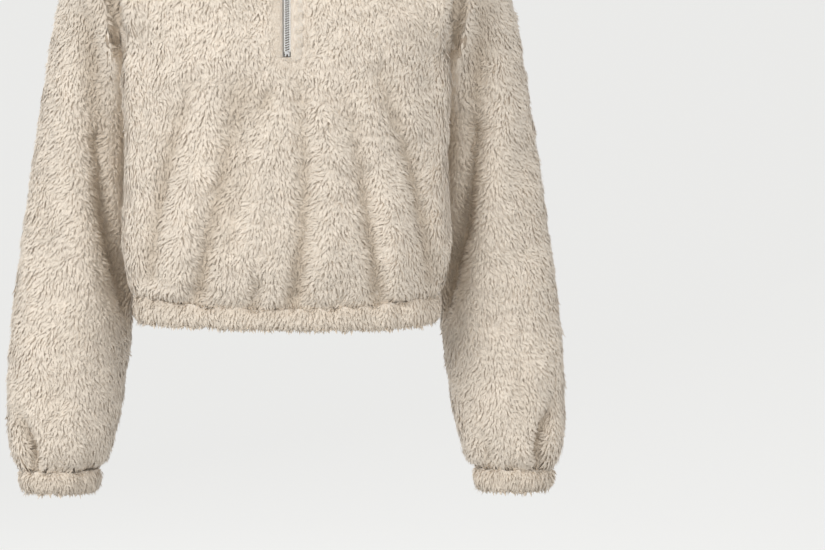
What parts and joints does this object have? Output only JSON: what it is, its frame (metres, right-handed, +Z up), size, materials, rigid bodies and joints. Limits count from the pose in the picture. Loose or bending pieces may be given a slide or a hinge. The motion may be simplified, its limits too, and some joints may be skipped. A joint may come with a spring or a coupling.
{
  "type": "half-zip pile fleece pullover",
  "caption": "Cropped cream half-zip pullover in deep pile fleece, hollow as if worn, with a stand collar, full sleeves, elastic hem and cuffs, and a metal zip with a lifting pull.",
  "frame": {"origin": "between the two neck points, level with the highest points of the shoulder seams, where the wearer's shoulders hold the garment up", "axes": "+Z up; -Y is the front, where the zip is; +X is the wearer's left, which is on the right when the front is seen"},
  "size_m": [0.6188, 0.2335, 0.7258],
  "materials": {
    "pile_fleece": "deep, soft, wavy polyester pile in warm cream, matt with a slight sheen at the tips",
    "zip_tape": "flat woven tape in off-white, matt",
    "zip_metal": "plain silver-coloured metal, softly polished"
  },
  "bodies": {
    "garment": {"front": "pile_fleece", "back": "pile_fleece", "sleeve_left": "pile_fleece", "sleeve_right": "pile_fleece", "collar": "pile_fleece", "hem_band": "pile_fleece", "cuff_left": "pile_fleece", "cuff_right": "pile_fleece", "zip_tape_left": "zip_tape", "zip_tape_right": "zip_tape", "zip_chain": "zip_metal", "zip_bottom_stop": "zip_metal", "zip_top_stop_left": "zip_metal", "zip_top_stop_right": "zip_metal", "zip_slider": "zip_metal"},
    "pull_tab": {"zip_pull": "zip_metal"}
  },
  "joints": [
    {"name": "pull_tab_hinge", "type": "hinge", "parent": "garment", "child": "pull_tab", "pos_m": [0, -0.07058, -0.036], "axis": [-1, 0, 0], "range_deg": [0, 170]}
  ]
}
